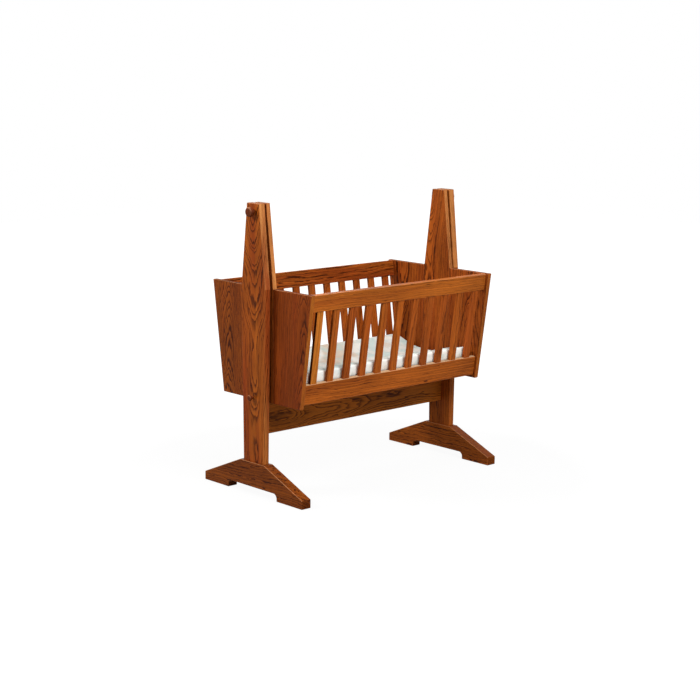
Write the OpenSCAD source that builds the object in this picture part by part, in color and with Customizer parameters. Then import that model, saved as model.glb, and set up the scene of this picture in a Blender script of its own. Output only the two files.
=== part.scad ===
// Swinging cradle hung between two tapered posts.
// Millimetres. X runs along the cradle, Y is the way it swings, Z is up.
// The origin lies on the floor, under the middle of the stand.

/* [Stand] */
// Height of the post tops above the floor
stand_h = 1124; // [1100:1:1160]
// Thickness of a post, along the cradle
post_t = 28; // [24:0.5:32]
// Width of a post at its top
post_top_w = 72; // [60:1:90]
// Width of a post at its knee, level with the cradle's rim
post_knee_w = 140; // [130:1:146]
// Width of a post where it meets the foot
post_foot_w = 119; // [110:1:130]
// Thickness of the stretcher board
stretcher_t = 19; // [16:0.5:24]
// Height of the stretcher board
stretcher_h = 121; // [100:1:130]
// How far the stretcher's tenon goes into each post
stretcher_tenon = 14; // [8:0.5:18]

/* [Feet] */
// Length of a foot, across the cradle
foot_l = 592; // [560:2:640]
// Thickness of a foot
foot_t = 44; // [38:1:50]
// Height of a foot at its flat ridge
foot_h = 126; // [110:1:140]
// Height of a foot at its ends
foot_end_h = 34; // [26:1:42]
// Length of the flat ridge
foot_ridge_l = 148; // [136:1:170]
// Clear height of the arch under a foot
arch_h = 28.5; // [20:0.5:32]
// Length of the arch under a foot
arch_l = 293; // [240:1:330]
// Radius of the arch's upper corners
arch_r = 18; // [10:1:20]

/* [Cradle ends] */
// Length inside the cradle, from end board to end board
inside_l = 930; // [900:2:980]
// Thickness of the end boards and rails
board_t = 19; // [18:0.5:22]
// Height of the rim above the floor
rim_z = 803; // [780:1:820]
// Height of an end board, from its lower edge to the rim
end_h = 440; // [420:1:450]
// Width of an end board at the rim
rim_w = 587; // [560:1:600]
// Width of an end board at its lower edge
base_w = 460; // [440:1:480]
// Width of a hanging arm at its top
arm_top_w = 67; // [56:1:80]
// Width of a hanging arm at the rim and below it
arm_w = 148; // [142:1:160]

/* [Cradle sides] */
// How far a side lies inside the end board's sloping edge
side_inset = 11; // [6:0.5:20]
// Height of a side, measured up its slope
side_h = 429; // [410:1:432]
// Height of the top rail, up the slope
top_rail_h = 66; // [55:1:80]
// Height of the bottom rail, up the slope
bottom_rail_h = 79; // [70:1:90]
// Number of slats in one side
slat_count = 11; // [9:1:11]
// Width of a slat
slat_w = 31; // [26:0.5:36]
// Thickness of a slat
slat_t = 13; // [10:0.5:14]
// Gap between an end board and the slat next to it
slat_end_gap = 33; // [25:0.5:42]
// How deep a slat's end is housed in a rail
slat_housing = 12; // [8:0.5:16]

/* [Hanging and lock] */
// Gap between a post and the end board beside it
post_gap = 9.5; // [8:0.25:12]
// Distance of the swing axis below the post tops
pivot_drop = 32; // [28:0.5:40]
// Diameter of the pivot bolts
bolt_d = 10; // [8:0.5:12]
// Thickness of the wall of bushings and inserts
sleeve_t = 2; // [1.5:0.25:3]
// Diameter of the round knobs on the pivot bolts
knob_d = 37; // [30:1:42]
// Length of the round knobs
knob_l = 25; // [20:0.5:30]
// Swing to each side, in degrees
swing = 8; // [6:0.5:10]
// Gap left over the stretcher at full swing
swing_gap = 5; // [3:0.5:8]
// Height of the lock pin above the end board's lower edge
lock_rise = 18; // [14:0.5:24]
// Diameter of the lock pin
lock_d = 8; // [6:0.5:10]
// How deep the lock pin goes into the end board
lock_depth = 7; // [5:0.5:10]
// Diameter of the lock pin's knob
lock_knob_d = 22; // [16:0.5:26]
// Length of the lock pin's knob
lock_knob_l = 16; // [12:0.5:20]

/* [Bed] */
// Thickness of the board under the mattress
bed_t = 10; // [6:0.5:12]
// Height and width of the cleats that carry the board
cleat = 14; // [12:0.5:18]
// Length of the mattress
mattress_l = 914; // [880:2:920]
// Thickness of the mattress along its middle
mattress_t = 50; // [40:1:70]
// Thickness of the mattress along its edges
mattress_edge_t = 84; // [60:1:90]
// How far the mattress edges ride up the sloping sides
mattress_rise = 53; // [30:1:60]

/* [Fasteners] */
// Diameter of the hidden dowels
dowel_d = 8; // [6:0.5:10]
// Diameter of the lag screws that hold a post in its foot
lag_d = 8; // [6:0.5:10]
// Length of the lag screws' shank
lag_l = 100; // [90:1:110]
// Diameter of the cleat screws
screw_d = 4; // [3:0.25:5]

/* [Hidden] */
$fn = 48;
fit = 0.05;                  // radial clearance of pins in their bores
rest_gap = 0.3;              // clearance where one body lies on another
eps = 0.5;                   // how far a cutter runs past the face it cuts
knob_stand = 0.5;            // gap between a pivot knob and its post
end_in = inside_l / 2;                       // inner face of an end board, from the middle
end_out = end_in + board_t;                  // its outer face
post_in = end_out + post_gap;                // inner face of a post
post_out = post_in + post_t;                 // its outer face
post_mid = (post_in + post_out) / 2;
end_z = rim_z - end_h;                       // lower edge of an end board
pivot_z = stand_h - pivot_drop;
lock_z = end_z + lock_rise;
lean = atan((rim_w - base_w) / 2 / end_h);   // slope of the sides, from upright
stretcher_top = pivot_z - (pivot_z - end_z) / cos(swing) - swing_gap;
stretcher_z = stretcher_top - stretcher_h;
tenon_shoulder = 15;                         // shoulder on each side of a post's tenon
tenon_w = post_foot_w - 2 * tenon_shoulder;
tenon_l = foot_h / 2;                        // depth of the tenon in the foot
shoulder = 10;                               // shoulder over and under the stretcher's tenon
side_y = rim_w / 2 - side_inset - board_t / cos(lean);   // inner top edge of a side
slat_pitch = (inside_l - 2 * slat_end_gap - slat_w) / (slat_count - 1);
slat_l = side_h - top_rail_h - bottom_rail_h + 2 * slat_housing;
side_low = rim_z - side_h * cos(lean);       // inner lower edge of a side
cleat_rise = 1;                              // the cleats start this far above the sides' lower edge
cleat_z = side_low + cleat_rise;
bed_z = cleat_z + cleat;                     // underside of the board
bed_top = bed_z + bed_t;
bed_play = 2;                                // clearance of the board at its ends
bed_side_play = 1;                           // and at its sides
bed_l = inside_l - 2 * bed_play;
sleeve_d = bolt_d + 2 * sleeve_t;            // outside of bushings and inserts
flange_d = sleeve_d + 12;                    // flange of a bushing and outside of a spacer
flange_t = 2;
insert_l = board_t - 4;                      // the inserts stop short of the inner face
socket_l = knob_l * 0.55;                    // depth of a bolt in its knob
dowel_l = 48;
end_dowel_deep = board_t - 7;                // depth of a rail's dowels in the end board
rail_dowel_deep = 28;                        // and in the rail
lag_head_h = 6;
lag_hole_h = 9;                              // depth of the recess for a lag screw's head
lag_y = 26;                                  // lag screws lie this far from the middle
lock_stroke = lock_depth + rest_gap * 2;     // from parked to locked
lock_knob_in = lock_knob_l * 0.6;            // depth of the pin in its knob
screw_head_h = 2.5;
screw_l = cleat + board_t * 0.6;

// Inner face of a side, from the middle plane, at height z
function side_in(z) = side_y - (rim_z - z) * tan(lean);

// The places of things that repeat. Left is the end at -X, front the side at -Y.
module at_left() mirror([1, 0, 0]) children();
module both_ends() {
    children();
    mirror([1, 0, 0]) children();
}
// Local axes of the front side: X along it, Z up its slope, Y inward, origin on its inner top edge
module front_side() translate([0, -side_y, rim_z]) rotate([lean, 0, 0]) children();
module back_side() rotate([0, 0, 180]) front_side() children();
// A board of thickness t drawn in the Y-Z plane, starting at x
module upright(x, t, points) translate([x, 0, 0]) rotate([90, 0, 90]) linear_extrude(t) polygon(points);
// A rod along X from x1 to x2
module rod(x1, x2, d, y = 0, z = 0) translate([x1, y, z]) rotate([0, 90, 0]) cylinder(h = x2 - x1, d = d);

// Stand
module foot_board() {
    points = [[-foot_l / 2, 0], [foot_l / 2, 0], [foot_l / 2, foot_end_h], [foot_ridge_l / 2, foot_h],
              [-foot_ridge_l / 2, foot_h], [-foot_l / 2, foot_end_h]];
    x = post_mid - foot_t / 2;
    difference() {
        upright(x, foot_t, points);
        translate([x - eps, -arch_l / 2, -eps]) cube([foot_t + 2 * eps, arch_l, arch_h - arch_r + eps]);
        translate([x - eps, -arch_l / 2 + arch_r, -eps])
            cube([foot_t + 2 * eps, arch_l - 2 * arch_r, arch_h + eps]);
        for (s = [-1, 1])
            rod(x - eps, x + foot_t + eps, 2 * arch_r, s * (arch_l / 2 - arch_r), arch_h - arch_r);
        translate([post_in, -tenon_w / 2, foot_h - tenon_l]) cube([post_t, tenon_w, tenon_l + eps]);
        for (s = [-1, 1]) translate([post_mid, s * lag_y, 0]) {
            cylinder(h = arch_h + lag_hole_h, d = 2 * lag_d + 2);
            cylinder(h = foot_h, d = lag_d + 2 * fit);
        }
    }
}

module post_board(locked) {
    difference() {
        union() {
            upright(post_in, post_t,
                [[-post_foot_w / 2, foot_h], [post_foot_w / 2, foot_h], [post_knee_w / 2, rim_z],
                 [post_top_w / 2, stand_h], [-post_top_w / 2, stand_h], [-post_knee_w / 2, rim_z]]);
            translate([post_in, -tenon_w / 2, foot_h - tenon_l]) cube([post_t, tenon_w, tenon_l + eps]);
        }
        rod(post_in - eps, post_out + eps, sleeve_d + 2 * fit, 0, pivot_z);
        if (locked) rod(post_in - eps, post_out + eps, lock_d + 2 * fit, 0, lock_z);
        translate([post_in - eps, -stretcher_t / 2, stretcher_z + shoulder])
            cube([stretcher_tenon + eps, stretcher_t, stretcher_h - 2 * shoulder]);
        for (s = [-1, 1]) translate([post_mid, s * lag_y, foot_h - tenon_l - eps])
            cylinder(h = arch_h + lag_hole_h + lag_l - foot_h + tenon_l + 2, d = lag_d + 2 * fit);
    }
}

module left_foot() color("#8a4a22") at_left() foot_board();
module right_foot() color("#8a4a22") foot_board();
module left_post() color("#94522a") at_left() post_board(true);
module right_post() color("#94522a") post_board(false);

module stretcher() color("#7c3f1c") {
    translate([-post_in, -stretcher_t / 2, stretcher_z]) cube([2 * post_in, stretcher_t, stretcher_h]);
    both_ends() translate([post_in - eps, -stretcher_t / 2, stretcher_z + shoulder])
        cube([stretcher_tenon + eps, stretcher_t, stretcher_h - 2 * shoulder]);
}

module foot_lag_screws() color("#8f9093")
    both_ends() for (s = [-1, 1]) translate([post_mid, s * lag_y, arch_h + lag_hole_h - lag_head_h]) {
        cylinder(h = lag_head_h, d = 2 * lag_d, $fn = 6);
        cylinder(h = lag_head_h + lag_l, d = lag_d);
    }

module post_bushings() color("#e8e4d8")
    both_ends() difference() {
        union() {
            rod(post_in, post_out, sleeve_d, 0, pivot_z);
            rod(post_in - flange_t, post_in, flange_d, 0, pivot_z);
        }
        rod(post_in - flange_t - eps, post_out + eps, bolt_d + 2 * fit, 0, pivot_z);
    }

// Lock pin, parked clear of the swinging end
module lock_pin() color("#b98a52")
    at_left() rod(end_out + 2 * rest_gap, post_out + lock_stroke + lock_knob_in, lock_d, 0, lock_z);

module lock_knob() color("#7a3d1c")
    at_left() translate([post_out + lock_stroke, 0, lock_z])
        turned_knob(lock_knob_d, lock_knob_l, lock_d, lock_knob_in);

// A turned knob along X: a neck that widens into a head with a slightly domed face. The pin or
// bolt of diameter bore goes into it for the length deep.
module turned_knob(d, l, bore, deep)
    rotate([0, 90, 0]) difference() {
        rotate_extrude() polygon([[0, 0], [d * 0.3, 0], [d * 0.28, l * 0.22], [d * 0.36, l * 0.34],
            [d * 0.48, l * 0.45], [d * 0.5, l * 0.53], [d * 0.5, l * 0.78], [d * 0.47, l * 0.88],
            [d * 0.37, l * 0.96], [d * 0.2, l], [0, l]]);
        translate([0, 0, -eps]) cylinder(h = deep + eps, d = bore + 2 * fit);
    }

// Swinging ends: an arm in the middle and a wing on each side of it
module wing_dowel_places()
    for (s = [-1, 1]) for (k = [0.15, 0.5, 0.85])
        translate([end_in + board_t / 2, s * arm_w / 2, end_z + k * end_h]) rotate([90, 0, 0]) children();

module rail_dowel_places() {
    low = -side_h + bottom_rail_h / 2;
    for (z = [-top_rail_h / 2, low]) for (s = [-1, 1]) {
        half = (z == low ? bottom_rail_h : top_rail_h) / 2;
        translate([end_in, -board_t / 2, z + s * (half - 2.2 * dowel_d)]) children();
    }
}

module rail_dowel_holes()
    rail_dowel_places() rod(-rail_dowel_deep - 0.5, end_dowel_deep + 0.5, dowel_d + 2 * fit);

module wing_dowel_holes()
    wing_dowel_places() cylinder(h = dowel_l + 1, d = dowel_d + 2 * fit, center = true);

module arm_board(locked) {
    difference() {
        upright(end_in, board_t,
            [[-arm_w / 2, end_z], [arm_w / 2, end_z], [arm_w / 2, rim_z],
             [arm_top_w / 2, stand_h], [-arm_top_w / 2, stand_h], [-arm_w / 2, rim_z]]);
        wing_dowel_holes();
        rod(end_out - insert_l - 0.5, end_out + eps, sleeve_d + 2 * fit, 0, pivot_z);
        if (locked) rod(end_out - lock_depth - 1, end_out + eps, lock_d + 1, 0, lock_z);
    }
}

// The front wing of the right end
module wing_board() {
    difference() {
        upright(end_in, board_t,
            [[-base_w / 2, end_z], [-arm_w / 2, end_z], [-arm_w / 2, rim_z], [-rim_w / 2, rim_z]]);
        wing_dowel_holes();
        front_side() rail_dowel_holes();
        end_screw_places() screw_hole();
    }
}

module left_arm() color("#94522a") at_left() arm_board(true);
module right_arm() color("#94522a") arm_board(false);
module left_front_wing() color("#7c3f1c") at_left() wing_board();
module left_back_wing() color("#7c3f1c") at_left() mirror([0, 1, 0]) wing_board();
module right_front_wing() color("#7c3f1c") wing_board();
module right_back_wing() color("#7c3f1c") mirror([0, 1, 0]) wing_board();

module wing_dowels() color("#c79a63")
    both_ends() wing_dowel_places() cylinder(h = dowel_l, d = dowel_d, center = true);

// Hanging parts
module pivot_bolts() color("#9a9b9e")
    both_ends() rod(end_out - insert_l, post_out + knob_stand + socket_l, bolt_d, 0, pivot_z);

module pivot_inserts() color("#b89a4a")
    both_ends() difference() {
        rod(end_out - insert_l, end_out, sleeve_d, 0, pivot_z);
        rod(end_out - insert_l - eps, end_out + eps, bolt_d + 2 * fit, 0, pivot_z);
    }

module pivot_spacers() color("#e8e4d8")
    both_ends() difference() {
        rod(end_out, post_in - flange_t - rest_gap, flange_d, 0, pivot_z);
        rod(end_out - eps, post_in, bolt_d + 2 * fit, 0, pivot_z);
    }

module pivot_knob()
    translate([post_out + knob_stand, 0, pivot_z]) turned_knob(knob_d, knob_l, bolt_d, socket_l);

module left_pivot_knob() color("#6f3719") at_left() pivot_knob();
module right_pivot_knob() color("#6f3719") pivot_knob();

// Slatted sides
module rail(low, h, housing_low) {
    difference() {
        translate([-end_in, -board_t, low]) cube([inside_l, board_t, h]);
        for (i = [1:slat_count])
            translate([slat_x(i), -(board_t + slat_t) / 2, housing_low]) cube([slat_w, slat_t, slat_housing]);
        both_ends() rail_dowel_holes();
    }
}

// Left edge of the slat with this number, counted from the left as one faces the side
function slat_x(i) = -end_in + slat_end_gap + (i - 1) * slat_pitch;

module top_rail() rail(-top_rail_h, top_rail_h, -top_rail_h);
module bottom_rail()
    difference() {
        front_side() rail(-side_h, bottom_rail_h, -side_h + bottom_rail_h - slat_housing);
        side_screw_places() screw_hole();
    }
module slat(i)
    translate([slat_x(i), -(board_t + slat_t) / 2, -top_rail_h + slat_housing - slat_l])
        cube([slat_w, slat_t, slat_l]);

module front_top_rail() color("#a65a2a") front_side() top_rail();
module front_bottom_rail() color("#a65a2a") bottom_rail();
module back_top_rail() color("#8a4a22") back_side() top_rail();
module back_bottom_rail() color("#8a4a22") rotate([0, 0, 180]) bottom_rail();
module front_slat(i) color("#a65a2a") front_side() slat(i);
module back_slat(i) color("#8a4a22") back_side() slat(i);

module rail_dowels() color("#c79a63")
    for (turn = [0, 180]) rotate([0, 0, turn]) front_side() both_ends()
        rail_dowel_places() rod(-rail_dowel_deep, end_dowel_deep, dowel_d);

// Bed: cleats around the inside, the board that lies on them and the mattress
module side_cleat_block() {
    low = side_in(cleat_z);
    high = side_in(bed_z);
    translate([-end_in, 0, 0]) rotate([90, 0, 90]) linear_extrude(inside_l)
        polygon([[-low, cleat_z], [-low + cleat, cleat_z], [-low + cleat, bed_z], [-high, bed_z]]);
}

module end_cleat_block() {
    y = side_in(cleat_z) - cleat;
    translate([end_in - cleat, -y, cleat_z]) cube([cleat, 2 * y, cleat]);
}

// Screws run level through a cleat into the board behind it, from the inside
module side_screw_places()
    for (k = [-0.36, -0.12, 0.12, 0.36])
        translate([k * inside_l, -side_in(cleat_z) + cleat, cleat_z + cleat / 2])
            rotate([90, 0, 0]) children();

module end_screw_places()
    for (s = [-1, 1]) translate([end_in - cleat, s * base_w / 4, cleat_z + cleat / 2])
        rotate([0, 90, 0]) children();

module cleat_screw(d) {
    cylinder(h = screw_head_h, d1 = d * 2, d2 = d);
    cylinder(h = screw_l, d = d);
}

module screw_hole() {
    d = screw_d + 2 * fit;
    cleat_screw(d);
    translate([0, 0, -eps]) cylinder(h = eps, d = d * 2);
}

module side_cleat()
    difference() {
        side_cleat_block();
        side_screw_places() screw_hole();
    }

module end_cleat()
    difference() {
        end_cleat_block();
        end_screw_places() screw_hole();
    }

module front_cleat() color("#b07a48") side_cleat();
module back_cleat() color("#b07a48") rotate([0, 0, 180]) side_cleat();
module left_cleat() color("#b07a48") at_left() end_cleat();
module right_cleat() color("#b07a48") end_cleat();

module cleat_screws() color("#8f9093") {
    for (turn = [0, 180]) rotate([0, 0, turn]) side_screw_places() cleat_screw(screw_d);
    both_ends() end_screw_places() cleat_screw(screw_d);
}

module bottom_board() color("#c8a878") {
    half = side_in(bed_z) - bed_side_play;
    translate([-bed_l / 2, -half, bed_z]) cube([bed_l, 2 * half, bed_t]);
}

// The mattress is a soft pad lying in the trough of the sides. Round it, each ring runs at one
// place along X: a flattened oval that is bent up and grows thicker towards its two edges. Towards
// the ends of the pad the rings grow thinner and narrower, which rounds its corners.
pad_ring = 36;               // points in a ring
pad_end_r = 24;              // rounding of the pad's ends
pad_steps = [0, 8, 20, 36, 56, 76, 90];      // places on the rounding of an end, in degrees
pad_spans = 14;              // spans between the roundings
pad_square = 0.42;           // exponent that squares off the oval
pad_side_gap = 1.5;          // clearance of the pad's edges from the sides
pad_mid_z = bed_top + rest_gap + mattress_t / 2;
pad_half_w = side_in(pad_mid_z + mattress_rise) - pad_side_gap;
pad_straight = mattress_l / 2 - pad_end_r;

function soft(v) = sign(v) * pow(abs(v), pad_square);
function towards_edge(y) = pow(abs(y) / pad_half_w, 2.3);
function pad_places() = concat(
    [for (a = pad_steps) [-pad_straight - pad_end_r * cos(a), sin(a)]],
    [for (i = [1:pad_spans - 1]) [-pad_straight + 2 * pad_straight * i / pad_spans, 1]],
    [for (a = pad_steps) [pad_straight + pad_end_r * sin(a), cos(a)]]);
function pad_point(x, fill, a) =
    let (half = pad_half_w - pad_end_r * (1 - fill),
         y = half * soft(cos(a)),
         edge = towards_edge(y),
         thick = max(fill, 0.12) * (mattress_t + (mattress_edge_t - mattress_t) * edge) / 2)
    [x, y, pad_mid_z + mattress_rise * edge + thick * soft(sin(a))];

// A ring's own face, in strips from its top to its bottom, because the bent oval isn't convex
function pad_cap() = concat(
    [for (k = [1:pad_ring / 2 - 1]) [k, k + 1, pad_ring - k]],
    [for (k = [0:pad_ring / 2 - 2]) [k + 1, pad_ring - k - 1, (pad_ring - k) % pad_ring]]);

module mattress() color("#e9ecea") {
    places = pad_places();
    n = len(places);
    points = [for (p = places) for (k = [0:pad_ring - 1]) pad_point(p[0], p[1], 360 * k / pad_ring)];
    walls = [for (i = [0:n - 2]) for (k = [0:pad_ring - 1])
        let (a = i * pad_ring + k, b = i * pad_ring + (k + 1) % pad_ring)
        each [[a, a + pad_ring, b], [b, a + pad_ring, b + pad_ring]]];
    last = (n - 1) * pad_ring;
    first_cap = pad_cap();
    last_cap = [for (f = first_cap) [f[2] + last, f[1] + last, f[0] + last]];
    polyhedron(points, concat(walls, first_cap, last_cap));
}

left_foot();
right_foot();
left_post();
right_post();
stretcher();
foot_lag_screws();
post_bushings();
lock_pin();
lock_knob();
left_arm();
right_arm();
left_front_wing();
left_back_wing();
right_front_wing();
right_back_wing();
wing_dowels();
pivot_bolts();
pivot_inserts();
pivot_spacers();
left_pivot_knob();
right_pivot_knob();
front_top_rail();
front_bottom_rail();
back_top_rail();
back_bottom_rail();
rail_dowels();
for (i = [1:slat_count]) front_slat(i);
for (i = [1:slat_count]) back_slat(i);
front_cleat();
back_cleat();
left_cleat();
right_cleat();
cleat_screws();
bottom_board();
mattress();
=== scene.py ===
"""Swinging cradle of stained red oak, hung between two posts, with a printed cotton mattress.

Metres. X runs along the cradle, Y is the way it swings, Z is up. The sizes are the frame's own.
"""

import math

import bmesh
import bpy
import numpy as np
from mathutils import Matrix, Vector
from mathutils.geometry import tessellate_polygon


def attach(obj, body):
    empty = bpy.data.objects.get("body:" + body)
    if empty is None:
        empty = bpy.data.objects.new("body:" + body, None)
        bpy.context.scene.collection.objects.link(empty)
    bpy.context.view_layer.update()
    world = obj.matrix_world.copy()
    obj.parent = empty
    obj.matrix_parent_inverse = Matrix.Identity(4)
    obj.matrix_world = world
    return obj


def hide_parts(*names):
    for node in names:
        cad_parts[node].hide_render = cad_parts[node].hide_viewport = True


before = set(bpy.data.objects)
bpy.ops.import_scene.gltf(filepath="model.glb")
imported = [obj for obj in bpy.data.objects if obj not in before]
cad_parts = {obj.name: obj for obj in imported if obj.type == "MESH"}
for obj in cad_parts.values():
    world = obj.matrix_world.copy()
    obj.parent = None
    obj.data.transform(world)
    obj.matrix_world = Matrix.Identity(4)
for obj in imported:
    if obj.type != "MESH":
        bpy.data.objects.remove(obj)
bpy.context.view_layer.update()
MM = 0.001

# Sizes, as in the part's source
STAND_H = 1124 * MM
POST_T, POST_TOP_W, POST_KNEE_W, POST_FOOT_W = 28 * MM, 72 * MM, 140 * MM, 119 * MM
FOOT_L, FOOT_T, FOOT_H, FOOT_END_H, FOOT_RIDGE_L = 592 * MM, 44 * MM, 126 * MM, 34 * MM, 148 * MM
ARCH_H, ARCH_L, ARCH_R = 28.5 * MM, 293 * MM, 18 * MM
INSIDE_L, BOARD_T, RIM_Z, END_H = 930 * MM, 19 * MM, 803 * MM, 440 * MM
RIM_W, BASE_W, ARM_TOP_W, ARM_W = 587 * MM, 460 * MM, 67 * MM, 148 * MM
SIDE_INSET, SIDE_H, TOP_RAIL_H, BOTTOM_RAIL_H = 11 * MM, 429 * MM, 66 * MM, 79 * MM
SLAT_COUNT, SLAT_W, SLAT_T, SLAT_END_GAP, SLAT_HOUSING = 11, 31 * MM, 13 * MM, 33 * MM, 12 * MM
POST_GAP, PIVOT_DROP, BOLT_HOLE_R, LOCK_HOLE_R = 9.5 * MM, 32 * MM, 7.05 * MM, 4.05 * MM
LOCK_RISE, LOCK_HOLE_DEEP, LOCK_CUP_R = 18 * MM, 8 * MM, 4.5 * MM
STRETCHER_LOW, STRETCHER_TOP, STRETCHER_T = 229.8 * MM, 350.8 * MM, 19 * MM
KNOB_D, KNOB_L, KNOB_STAND = 37 * MM, 25 * MM, 0.5 * MM
LOCK_KNOB_D, LOCK_KNOB_L, LOCK_STROKE = 22 * MM, 16 * MM, 7.6 * MM
BED_RISE = 25 * MM      # top of the bed board over the sides' lower edge
REST_GAP = 0.3 * MM     # between the bed board and the mattress
END_IN = INSIDE_L / 2
END_OUT = END_IN + BOARD_T
POST_IN = END_OUT + POST_GAP
POST_OUT = POST_IN + POST_T
POST_MID = (POST_IN + POST_OUT) / 2
END_Z = RIM_Z - END_H
PIVOT_Z = STAND_H - PIVOT_DROP
LOCK_Z = END_Z + LOCK_RISE
LEAN = math.atan((RIM_W - BASE_W) / 2 / END_H)
SIDE_Y = RIM_W / 2 - SIDE_INSET - BOARD_T / math.cos(LEAN)
SLAT_PITCH = (INSIDE_L - 2 * SLAT_END_GAP - SLAT_W) / (SLAT_COUNT - 1)


# ---------------------------------------------------------------- camera
CAMERA_PLACE = (-4.3991, -4.7841, 1.7104)
YAW, PITCH, ROLL = 47.544, -10.525, 0.4705      # degrees
FOCAL_LENGTH, PHOTO_W = 1643.818, 700           # pixels


def studio_camera():
    """The photograph's viewpoint: a long lens, a little over the rim, off the left front corner."""
    yaw, pitch, roll = (math.radians(a) for a in (YAW, PITCH, ROLL))
    ahead = np.array([math.cos(pitch) * math.cos(yaw), math.cos(pitch) * math.sin(yaw), math.sin(pitch)])
    level = np.array([math.sin(yaw), -math.cos(yaw), 0.0])
    above = np.cross(level, ahead)
    right = level * math.cos(roll) + above * math.sin(roll)
    up = above * math.cos(roll) - level * math.sin(roll)
    data = bpy.data.cameras.new("studio_camera")
    data.sensor_width = 36.0
    data.lens = FOCAL_LENGTH / PHOTO_W * data.sensor_width
    data.clip_end = 60.0
    camera = bpy.data.objects.new("studio_camera", data)
    turn = Matrix([[right[k], up[k], -ahead[k]] for k in range(3)])
    camera.matrix_world = Matrix.Translation(CAMERA_PLACE) @ turn.to_4x4()
    bpy.context.scene.collection.objects.link(camera)
    bpy.context.scene.camera = camera


studio_camera()


# ---------------------------------------------------------------- materials
def linear(colour):
    """An sRGB hex colour as linear red, green, blue and alpha."""
    parts = [int(colour[k:k + 2], 16) / 255 for k in (1, 3, 5)]
    return tuple(c / 12.92 if c <= 0.04045 else ((c + 0.055) / 1.055) ** 2.4 for c in parts) + (1.0,)


def add(tree, kind, *inputs, **settings):
    """A node with its settings and its links. The inputs go to its sockets in order, and those in a closing
    dictionary by name. Each is a value, an output, or a node, which stands for its first output in use."""
    node = tree.nodes.new("ShaderNode" + kind)
    for key, value in settings.items():
        setattr(node, key, value)
    in_order, by_name = (inputs[:-1], inputs[-1]) if inputs and isinstance(inputs[-1], dict) else (inputs, {})
    pairs = list(zip([socket for socket in node.inputs if socket.enabled], in_order))
    for socket, value in pairs + [(node.inputs[key], value) for key, value in by_name.items()]:
        if isinstance(value, bpy.types.Node):
            value = next(output for output in value.outputs if output.enabled)
        if isinstance(value, bpy.types.NodeSocket):
            tree.links.new(value, socket)
        else:
            socket.default_value = value
    return node


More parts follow.
